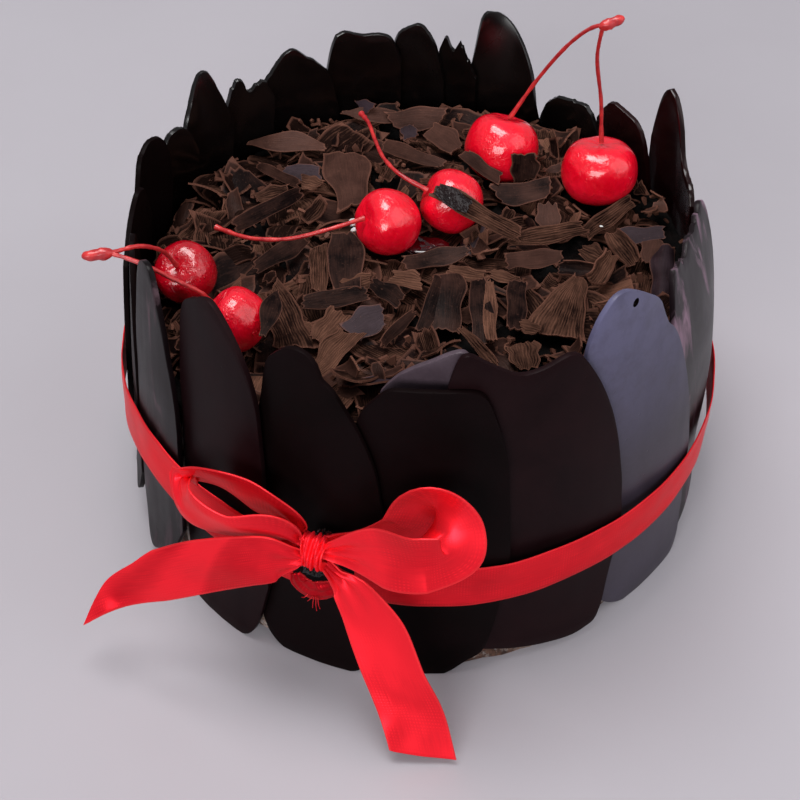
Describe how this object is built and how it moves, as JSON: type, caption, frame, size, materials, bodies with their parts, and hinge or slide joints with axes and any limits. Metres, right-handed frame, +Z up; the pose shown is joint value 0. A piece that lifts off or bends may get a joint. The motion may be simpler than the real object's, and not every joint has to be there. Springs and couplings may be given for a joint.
{
  "type": "black forest cake",
  "caption": "Round black forest cake walled in by upright chocolate panels, heaped with chocolate shavings and stemmed cherries and tied with a red satin bow.",
  "frame": {"origin": "centre of the cake's round foot, on the surface it stands on", "axes": "+Z up, -Y towards the ribbon's knot, +X to the right as the knot is faced"},
  "size_m": [0.1738, 0.197, 0.13],
  "materials": {
    "dark_chocolate": "dark chocolate with a satin sheen",
    "shaved_chocolate": "matt shaved chocolate",
    "sponge_and_cream": "whipped cream over sponge, with chocolate crumbs",
    "cherry": "wet glossy red skin",
    "cherry_stem": "dyed red stem",
    "red_satin": "woven satin ribbon"
  },
  "bodies": {
    "root": {"bow_knot": "red_satin", "bow_loop_left": "red_satin", "bow_loop_right": "red_satin", "bow_scrap": "red_satin", "bow_tail_left": "red_satin", "bow_tail_right": "red_satin", "cake_core": "sponge_and_cream", "cherry_left": "cherry", "cherry_left_front": "cherry", "cherry_middle": "cherry", "cherry_middle_right": "cherry", "cherry_rear_right": "cherry", "cherry_right": "cherry", "chocolate_dab": "dark_chocolate", "panel_front": "dark_chocolate", "panel_front_far_left": "dark_chocolate", "panel_front_left": "dark_chocolate", "panel_front_right": "dark_chocolate", "panel_inner_piece": "dark_chocolate", "panel_left": "dark_chocolate", "panel_left_curled": "dark_chocolate", "panel_left_front": "dark_chocolate", "panel_left_low": "dark_chocolate", "panel_left_notched": "dark_chocolate", "panel_left_outer": "dark_chocolate", "panel_left_rear": "dark_chocolate", "panel_rear": "dark_chocolate", "panel_rear_left": "dark_chocolate", "panel_rear_low": "dark_chocolate", "panel_rear_narrow": "dark_chocolate", "panel_rear_right": "dark_chocolate", "panel_rear_shard": "dark_chocolate", "panel_rear_tall": "dark_chocolate", "panel_right": "dark_chocolate", "panel_right_front": "dark_chocolate", "panel_right_rear": "dark_chocolate", "panel_right_side": "dark_chocolate", "ribbon_band": "red_satin", "shavings": "shaved_chocolate", "stem_left_pair": "cherry_stem", "stem_middle": "cherry_stem", "stem_middle_right": "cherry_stem", "stem_right_pair": "cherry_stem"}
  },
  "joints": []
}
